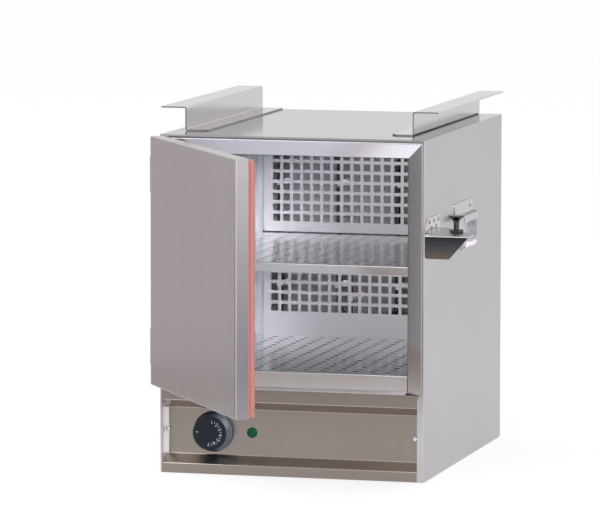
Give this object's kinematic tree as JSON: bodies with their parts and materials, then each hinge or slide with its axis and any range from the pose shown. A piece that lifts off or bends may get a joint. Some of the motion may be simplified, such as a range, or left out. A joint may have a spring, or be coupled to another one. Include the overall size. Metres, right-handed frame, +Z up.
{
  "type": "plate warmer cabinet",
  "caption": "Heated cabinet in folded stainless sheet with a side-hinged door, perforated shelves, a recessed dial panel, a side latch and top mounting rails.",
  "frame": {"origin": "centre of the cabinet body's footprint, on the surface that it stands on", "axes": "+X to the right of a person facing the door, +Y from the door to the back, +Z up"},
  "size_m": [0.4908, 0.8844, 0.5355],
  "materials": {
    "galvanised_sheet": "galvanised",
    "frame_steel": "satin",
    "gland_plastic": "moulded",
    "copper": "drawn",
    "fastener_steel": "bright",
    "liner_steel": "bright satin",
    "control_steel": "satin",
    "red_silicone": "satin",
    "bracket_steel": "bright satin",
    "mineral_wool": "loose fibre",
    "door_steel": "satin",
    "brass_parts": "turned",
    "shelf_steel": "satin",
    "perforated_steel": "satin",
    "heater_sheath": "heat-darkened",
    "pin_steel": "turned",
    "black_plastic": "fine satin",
    "lamp_plastic": "moulded",
    "green_lens": "translucent",
    "polished_steel": "polished",
    "rail_steel": "satin",
    "side_steel": "satin",
    "white_plastic": "moulded",
    "grey_phenolic": "moulded",
    "top_steel": "bright satin",
    "wire_silicone": "satin"
  },
  "bodies": {
    "cabinet": {"base_pan": "galvanised_sheet", "bezel_left": "frame_steel", "bezel_right": "frame_steel", "bezel_top": "frame_steel", "cable_gland": "gland_plastic", "capillary_tube": "copper", "casing_screws": "fastener_steel", "chamber_back": "liner_steel", "chamber_ceiling": "liner_steel", "chamber_clips": "fastener_steel", "chamber_floor": "liner_steel", "chamber_wall_left": "liner_steel", "chamber_wall_right": "liner_steel", "control_panel": "control_steel", "earth_stud": "brass_parts", "floor_shelf": "shelf_steel", "gland_nut": "gland_plastic", "grille_lower": "perforated_steel", "grille_posts": "shelf_steel", "grille_upper": "perforated_steel", "heater_element": "heater_sheath", "heater_terminals": "pin_steel", "hinge_leaves": "bracket_steel", "hinge_pins": "pin_steel", "insulation_back": "mineral_wool", "insulation_bottom": "mineral_wool", "insulation_left": "mineral_wool", "insulation_right": "mineral_wool", "insulation_top": "mineral_wool", "lamp_barrel": "lamp_plastic", "lamp_lens": "green_lens", "lamp_nut": "lamp_plastic", "latch_leaf": "bracket_steel", "latch_pin": "pin_steel", "rail_left": "rail_steel", "rail_right": "rail_steel", "rear_panel": "galvanised_sheet", "shelf_middle": "shelf_steel", "shelf_runner_left": "shelf_steel", "shelf_runner_right": "shelf_steel", "side_grip": "bracket_steel", "side_panel_left": "side_steel", "side_panel_right": "side_steel", "terminal_block": "white_plastic", "terminal_screws": "brass_parts", "thermostat_body": "grey_phenolic", "thermostat_bulb": "copper", "top_panel": "top_steel", "wall_rivets": "fastener_steel", "wiring": "wire_silicone"},
    "door": {"door_skin": "door_steel", "door_inner_panel": "liner_steel", "door_insulation": "mineral_wool", "door_gasket": "red_silicone", "door_hinge_tabs": "bracket_steel", "door_rivets": "fastener_steel"},
    "control_knob": {"knob": "black_plastic", "thermostat_spindle": "pin_steel"},
    "latch_flap": {"latch_flap": "bracket_steel", "latch_knob": "polished_steel"}
  },
  "joints": [
    {"name": "door_hinge", "type": "hinge", "parent": "cabinet", "child": "door", "pos_m": [-0.2035, -0.2778, 0.317], "axis": [0, 0, -1], "range_deg": [-56.3, 58.7]},
    {"name": "knob_turn", "type": "hinge", "parent": "cabinet", "child": "control_knob", "pos_m": [-0.124, -0.24, 0.0608], "axis": [0, -1, 0], "range_deg": [0, 285]},
    {"name": "latch_hinge", "type": "hinge", "parent": "cabinet", "child": "latch_flap", "pos_m": [0.2047, -0.199, 0.3623], "axis": [0, 1, 0], "range_deg": [0, 90]}
  ]
}
